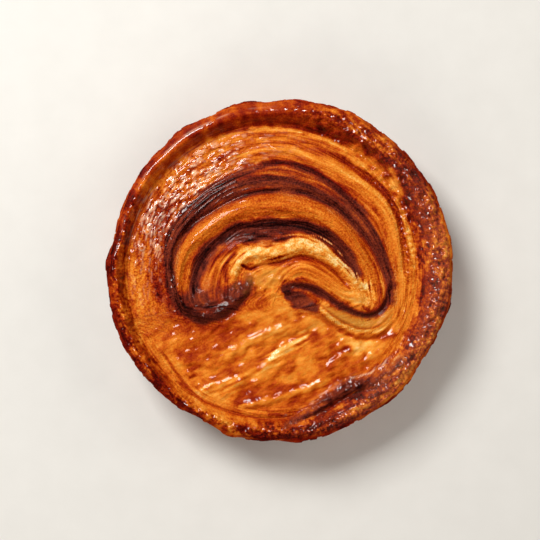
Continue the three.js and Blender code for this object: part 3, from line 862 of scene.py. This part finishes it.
shoulder = np.where(top, 0, RIM_HEIGHT - SHOULDER_DROP + rim_wave)
wall_height = shoulder * (1 - wall_share)
torn = (0.15 + 0.9 * step_up(0.4, 0.1, down)) * (chip_number - 0.5)
ledge = LEAF_WAVE * leaf_swell + LEAF_BULGE * np.sqrt(leaf_part * (1 - leaf_part)) - LEAF_TUCK + torn
round_over = SHOULDER_INSET * np.exp(-down / OVER_SHARE)
round_under = UNDER_INSET * np.exp(-(1 - down) / UNDER_SHARE)
taper = girth + (BASE_RADIUS - girth) * wall_share**TAPER_POWER
wall_radius = taper - round_over - round_under + ledge * step_up(0, 0.06, down) * step_up(1, 0.95, down)
spread = [round(float(value), 1) for value in (wall_radius[~top].min(), wall_radius[~top].max())]
print("wall radius from", spread[0], "to", spread[1], "mm")

# %% Move the points
LEVEL_SHARE = 0.985

final_radius = np.where(top, radius, wall_radius)
final_height = np.where(top, height, wall_height)
# The last rings of the top level out, so that they meet the wall's first row.
edge_blend = np.where(top, step_up(LEVEL_SHARE, 1, share_out), 0)
final_height += edge_blend * (RIM_HEIGHT - SHOULDER_DROP + rim_wave - final_height)
final_height[row == WALL_ROWS] = 0
points = np.column_stack([final_radius * np.cos(angle), final_radius * np.sin(angle), final_height]) * MM
cake_mesh.vertices.foreach_set("co", points.ravel())
cake_mesh.polygons.foreach_set("use_smooth", np.ones(len(cake_mesh.polygons), dtype=bool))
cake_mesh.update()
cake = bpy.data.objects.new("butter_cake", cake_mesh)
bpy.context.scene.collection.objects.link(cake)
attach(cake, "root")
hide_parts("cake")
print("triangles:", sum(len(face.vertices) - 2 for face in cake_mesh.polygons))

# %% [markdown]
# Gloss
# Caramel is glossy where it ran thick: on the blisters, the sheet and the rim. The leaves that stand up in
# the swirl are drier. One gloss for the whole crust would make it look varnished, so gloss is a value of
# each point, as the browning is.

# %% Gloss
gloss = 0.32 + 0.6 * blister_zone + 0.22 * sheet + 0.58 * climb + 0.12 * blotch + 0.3 * red_slope
gloss += 0.6 * edge_line("lip", 1.2, 0.9) + 0.8 * foot_lip + 0.6 * crest_line + 0.4 * step_up(0, 0.4, bubble)
gloss += 0.05 * spot((-42, 30), (14, 16)) - 0.24 * spot((14, 12), (34, 22)) - 0.1 * spot((-8, 18), (14, 5))
gloss -= 0.25 * curl + 0.3 * flap + 0.2 * lens + 0.12 * arch + 0.4 * spot((53.5, -20.5), (3, 3))
gloss *= 1 - 0.6 * step_up(5.5, 3, inset)
wall_gloss = 0.15 + 0.4 * step_up(0.1, 0.4, down) + 0.1 * leaf_swell
gloss = np.clip(np.where(top, gloss, wall_gloss), 0, 1)
gold = np.exp(-((seen["gold_leaf"][0] / 6) ** 2)) * step_up(0.3, 0.6, seen["gold_leaf"][1])
left_field = around(185, 36) * band(1, 26) * (1 - arch)
gloss = np.clip(gloss + 0.2 * left_field + 0.14 * amber + 0.2 * gold + 0.4 * wet, 0, 1)
print("mean gloss", round(float(gloss.mean()), 2))

# %% [markdown]
# Marks for the shader
# The finest texture is left to the shader, which has to know where it is on the cake. The mesh carries that
# as attributes, one value for each point. Besides browning with its painted light, gloss, bloom with its
# painted glints and the count of the leaves these are masks: umber where a leaf burnt, khaki where pale dough
# shows through, sandy where streaks are weak, crumb where grit is strong, calm where the skin is smooth,
# leafy where leaf edges show, the sheet, and film where the glaze is wrinkled.

# %% Marks for the shader
WALL_LEAFY = 0.7

sandy = np.maximum.reduce([sheet, 0.9 * amber, 0.8 * gold, 0.8 * cream, 0.8 * left_field, 0.75 * climb,
                           0.8 * middle])
sandy = np.clip(sandy, 0, 1) * top
crumb = 0.2 + 0.5 * amber + 0.5 * gold + 0.6 * cream + 0.5 * blister_zone - 0.2 * sheet
crumb += climb * (0.6 * crumbly_rim + 0.4 * plated_rim) + 0.3 * arch
crumb = np.clip(crumb + 0.6 * around(20, 34) * band(-1, 7) + 0.6 * left_field, 0, 1) * top
calm = np.clip(smooth_rim * climb + 0.2 * sheet + foot_lip - red_slope, 0, 1) * top
leafy = 1 - 0.9 * sandy - 0.8 * smooth_rim * climb - 0.7 * red_slope - 0.8 * orange - 0.9 * flap
leafy = np.where(top, np.clip(leafy, 0, 1), WALL_LEAFY)
film = climb * (1 - smooth_rim) + red_slope + 0.6 * np.maximum(curl, lip) + tuck + 0.5 * blister_zone
film = np.clip(film, 0, 1) * top
leaf_count = np.where(top, grain, -outwards)
marks_kept = {
    "bake": bake, "khaki": khaki, "umber": umber, "bloom": bloom, "gloss": gloss, "grain": leaf_count,
    "sandy": sandy, "crumb": crumb, "calm": calm, "leafy": leafy, "sheet": sheet, "film": film,
}
for name, values in marks_kept.items():
    cake_mesh.attributes.new(name, "FLOAT", "POINT").data.foreach_set("value", values.astype(np.float32))
print("attributes:", [attribute.name for attribute in cake_mesh.attributes])

# %% [markdown]
# Shader maths
# A material is a graph of nodes. Sums of sockets are easier to read as Python, so a small class wraps a
# socket and turns +, -, * and ** into Math nodes. Every other node comes from one method.

# %% A value in a shader
class Value:
    """A socket of a shader. Python's operators on it add Math nodes to its graph."""

    def __init__(self, graph, socket):
        self.graph = graph
        self.socket = socket

    def __add__(self, other):
        return self.graph.math("ADD", self, other)

    def __sub__(self, other):
        return self.graph.math("SUBTRACT", self, other)

    def __rsub__(self, other):
        return self.graph.math("SUBTRACT", other, self)

    def __mul__(self, other):
        return self.graph.math("MULTIPLY", self, other)

    def __pow__(self, other):
        return self.graph.math("POWER", self, other)

    __radd__ = __add__
    __rmul__ = __mul__


class Graph:
    """A material's node graph."""

    def __init__(self, name):
        self.material = bpy.data.materials.new(name)
        self.material.use_nodes = True
        self.tree = self.material.node_tree
        self.shader = self.tree.nodes["Principled BSDF"]

    def add(self, kind, settings=None, sockets=None, output=0):
        """A new node: its type, its settings, the values or links of its sockets, and the output to use."""
        node = self.tree.nodes.new("ShaderNode" + kind)
        for key, value in (settings or {}).items():
            if key == "stops":
                self.set_stops(node.color_ramp, value)
            else:
                setattr(node, key, value)
        for key, value in (sockets or {}).items():
            self.feed(node.inputs[key], value)
        return Value(self, node.outputs[output])

    def set_stops(self, ramp, stops):
        while len(ramp.elements) < len(stops):
            ramp.elements.new(1)
        for element, (position, colour) in zip(ramp.elements, stops):
            element.position = position
            element.color = (*colour, 1)

    def feed(self, socket, value):
        if isinstance(value, Value):
            self.tree.links.new(value.socket, socket)
        else:
            socket.default_value = value

    def math(self, operation, first, second):
        return self.add("Math", {"operation": operation}, {0: first, 1: second})

    def blend(self, base, over, factor):
        """A colour mixed over another."""
        sockets = {"Factor": factor, "A": base, "B": over}
        return self.add("Mix", {"data_type": "RGBA"}, sockets, output="Result")

    def finish(self, **sockets):
        """Set or link the main shader's own sockets, named with _ for a space."""
        for key, value in sockets.items():
            self.feed(self.shader.inputs[key.replace("_", " ")], value)
        return self.material


# %% [markdown]
# The crust
# The browning picks a colour from a ramp that runs from cream through gold and red-brown to black. Burnt
# leaf edges are greyer than that, partly as a painted sheen, so a second ramp is mixed in there. Pale dough
# is tinted khaki, and the bloom with its painted glints lies over all. Streaks along the grain and specks,
# finer than the mesh, shift the browning before it picks its colour. Caramel is a clear glaze, so the glossy
# places get a coat, and a bump map breaks their highlights up.

# %% Crust colours
def colour(red, green, blue):
    """A screen colour from 0 to 255 as the linear light that shaders work with."""
    return tuple((value / 255) ** 2.2 for value in (red, green, blue))


BROWNING = [
    (0.0, colour(250, 214, 148)),
    (0.12, colour(243, 180, 92)),
    (0.25, colour(234, 147, 55)),
    (0.4, colour(217, 117, 34)),
    (0.5, colour(196, 91, 24)),
    (0.6, colour(168, 62, 14)),
    (0.7, colour(138, 36, 9)),
    (0.8, colour(106, 20, 7)),
    (0.9, colour(72, 14, 8)),
    (1.0, colour(36, 8, 6)),
]
# Greyer browns for the burnt leaf edges; the grey partly stands in for a sheen on them: painted sheen.
BURNING_AND_SHEEN = [
    (0.0, colour(250, 214, 148)),
    (0.5, colour(190, 92, 30)),
    (0.6, colour(160, 69, 30)),
    (0.7, colour(136, 55, 32)),
    (0.8, colour(110, 44, 31)),
    (0.9, colour(76, 27, 21)),
    (1.0, colour(30, 7, 7)),
]
KHAKI = colour(192, 124, 48)
BLOOM_AND_GLINT = colour(250, 210, 178)

# %% Crust: places and noises
crust = Graph("caramel_crust")
marks = {name: crust.add("Attribute", {"attribute_name": name}, output="Fac") for name in marks_kept}
place = crust.add("TexCoord", output="Object")
split = crust.add("SeparateXYZ", sockets={0: place})
place_x, place_y = split, Value(crust, split.socket.node.outputs["Y"])
PER_MM = 1 / MM
slant = (place_y * math.cos(SHEET_TILT) - place_x * math.sin(SHEET_TILT)) * PER_MM


def streak_noise(across, fine, long, detail):
    """Streaks of a breadth and a length in mm. The value across counts the millimetres across them."""
    stretch = crust.add("CombineXYZ", sockets={"X": across * (1 / fine), "Y": place_x * (PER_MM / long),
                                               "Z": place_y * (PER_MM / long)})
    return crust.add("TexNoise", sockets={"Vector": stretch, "Scale": 1, "Detail": detail})


def spot_noise(size, detail, roughness=0.5):
    """Noise in all directions alike, of a size in mm."""
    return crust.add("TexNoise", sockets={"Vector": place, "Scale": PER_MM / size, "Detail": detail,
                                          "Roughness": roughness})


def ridged_noise(across, fine, long):
    """Sharp valleys of a breadth and a length in mm, as in wrinkled film."""
    return crust.math("ABSOLUTE", streak_noise(across, fine, long, 1) - 0.5, 0)


fibre = streak_noise(marks["grain"], 0.9, 9, 3)
strand = streak_noise(marks["grain"], 0.8, 45, 2)
fleck = streak_noise(slant, 2.4, 5.5, 1)
sheet_film = ridged_noise(slant, 1, 4.5) * marks["sheet"]
leaf_film = ridged_noise(marks["grain"], 2.2, 6) * marks["film"]
grit = spot_noise(0.9, 2, 0.6)
mottle = spot_noise(5, 4)
leaf_edges = crust.math("FRACT", streak_noise(marks["grain"], 3, 60, 1) * 7, 0) * marks["leafy"]
print("noise nodes:", sum(node.type == "TEX_NOISE" for node in crust.tree.nodes))

# %% Crust: colour
depth = marks["bake"] + (fibre - 0.5) * 0.4 * (1 - marks["sandy"] * 0.85 - marks["umber"] * 0.5)
depth = depth + (strand - 0.5) * marks["umber"] * marks["leafy"] * 0.26
depth = depth + (leaf_edges * 0.16 - marks["leafy"] * 0.08) * (1 - marks["umber"] * 0.6)
depth = depth - (fleck - 0.5) * marks["sheet"] * 0.4
depth = depth + (grit - 0.5) * (marks["crumb"] * 0.55 + 0.2) + (mottle - 0.5) * 0.14
browned = crust.add("ValToRGB", {"stops": BROWNING}, {"Fac": depth})
burnt_and_sheen = crust.add("ValToRGB", {"stops": BURNING_AND_SHEEN}, {"Fac": depth})
baked = crust.blend(browned, burnt_and_sheen, marks["umber"])
tinted = crust.blend(baked, (*KHAKI, 1), marks["khaki"] * 0.5)
bloomed_with_glints = crust.blend(tinted, (*BLOOM_AND_GLINT, 1), marks["bloom"] * (grit * 1.2 + 0.25))
print("colour stops:", len(BROWNING), "and", len(BURNING_AND_SHEEN))

# %% Crust: bumps and shader
shine = marks["gloss"] + (mottle - 0.5) * 0.6
bumps = fibre * 0.3 + grit * (marks["crumb"] * 0.5 + 0.15)
bumps = bumps + (spot_noise(1.8, 1) * 0.5 + spot_noise(3.2, 1) * 0.4) * (1 - marks["sheet"] * 0.5)
bumps = bumps - leaf_edges * 0.14 + strand * marks["umber"] * marks["leafy"] * 0.3
bumps = bumps - sheet_film * 0.6 - leaf_film * 1.6 + fleck * marks["sheet"] * 0.5
bumps = bumps + spot_noise(2.4, 1) * marks["film"]
bumps = bumps * (1 - marks["calm"] * 0.75)
bumped = crust.add("Bump", sockets={"Strength": 1, "Distance": MM, "Height": bumps})
cake_mesh.materials.append(crust.finish(
    Base_Color=bloomed_with_glints,
    Roughness=0.6,
    Subsurface_Weight=0.2,
    Subsurface_Radius=(1, 0.4, 0.15),
    Subsurface_Scale=1.2 * MM,
    Specular_IOR_Level=0.06,
    Coat_Weight=shine ** 1.3,
    Coat_Roughness=0.07,
    Normal=bumped,
))
print("crust nodes:", len(crust.tree.nodes))

# %% [markdown]
# Table, light and camera
# The photograph looks straight down. A soft key light comes from the upper left, so shadows fall to the
# lower right, and weak fills and a dim sky keep them open. Only the key light is mirrored by the glaze: the
# fills, the sky and the table are hidden from mirrors, because anything broad and pale that dark caramel
# mirrors lays a grey veil over it.

# %% Table
TABLE_HALF = 3
TABLE_DARK, TABLE_LIGHT = (0.70, 0.68, 0.65, 1), (0.76, 0.74, 0.71, 1)

table_mesh = bpy.data.meshes.new("table")
table_form = bmesh.new()
bmesh.ops.create_grid(table_form, x_segments=1, y_segments=1, size=TABLE_HALF)
table_form.to_mesh(table_mesh)
table_form.free()
table = bpy.data.objects.new("table", table_mesh)
bpy.context.scene.collection.objects.link(table)
table.visible_glossy = False

tabletop = Graph("pale_table")
tabletop_place = tabletop.add("TexCoord", output="Object")
tabletop_noise = tabletop.add("TexNoise", sockets={"Vector": tabletop_place, "Scale": 60, "Detail": 4})
tabletop_colour = tabletop.blend(TABLE_DARK, TABLE_LIGHT, tabletop_noise)
table_mesh.materials.append(tabletop.finish(Base_Color=tabletop_colour, Roughness=0.8))
print("table:", 2 * TABLE_HALF, "m broad")

# %% Lights
FILL_TINT = (1, 0.94, 0.86)


def soft_light(name, stand, size, power, tint, mirrored):
    """A square area light that faces the cake, in metres and watts. Glossy places may mirror it or not."""
    lamp = bpy.data.lights.new(name, "AREA")
    lamp.size = size
    lamp.energy = power
    lamp.color = tint
    holder = bpy.data.objects.new(name, lamp)
    holder.visible_glossy = mirrored
    holder.location = stand
    holder.rotation_euler = (-Vector(stand)).to_track_quat("-Z", "Y").to_euler()
    bpy.context.scene.collection.objects.link(holder)


soft_light("key_light", (-0.55, 0.70, 1.0), 0.54, 19.6, (1, 1, 0.97), True)
soft_light("right_fill", (1.1, 0.3, 0.8), 0.8, 5, FILL_TINT, False)
soft_light("low_fill", (-0.3, -1.1, 0.8), 0.8, 6, FILL_TINT, False)
print("lights:", [lamp.name for lamp in bpy.data.lights])

# %% Sky
SKY_COLOUR, SKY_STRENGTH = (1, 0.96, 0.92, 1), 0.12

world = bpy.data.worlds.new("studio")
world.use_nodes = True
sky = world.node_tree.nodes["Background"]
sky.inputs["Color"].default_value = SKY_COLOUR
sky.inputs["Strength"].default_value = SKY_STRENGTH
world.cycles_visibility.glossy = False
bpy.context.scene.world = world
bpy.context.scene.view_settings.view_transform = "Standard"

# %% Camera
PHOTO_PIXELS, CAKE_PIXELS, SHIFT_PIXELS = 540, 348, 10
PIXEL = 2 * OUTER_RADIUS / CAKE_PIXELS * MM
VIEW_WIDTH = PHOTO_PIXELS * PIXEL
LENS, SENSOR = 85, 36

camera_data = bpy.data.cameras.new("camera")
camera_data.lens = LENS
camera_data.sensor_width = SENSOR
camera = bpy.data.objects.new("camera", camera_data)
camera.location = (-SHIFT_PIXELS * PIXEL, 0, RIM_HEIGHT * MM + VIEW_WIDTH * LENS / SENSOR)
bpy.context.scene.collection.objects.link(camera)
bpy.context.scene.camera = camera
print("camera height", round(camera.location.z, 3), "m")
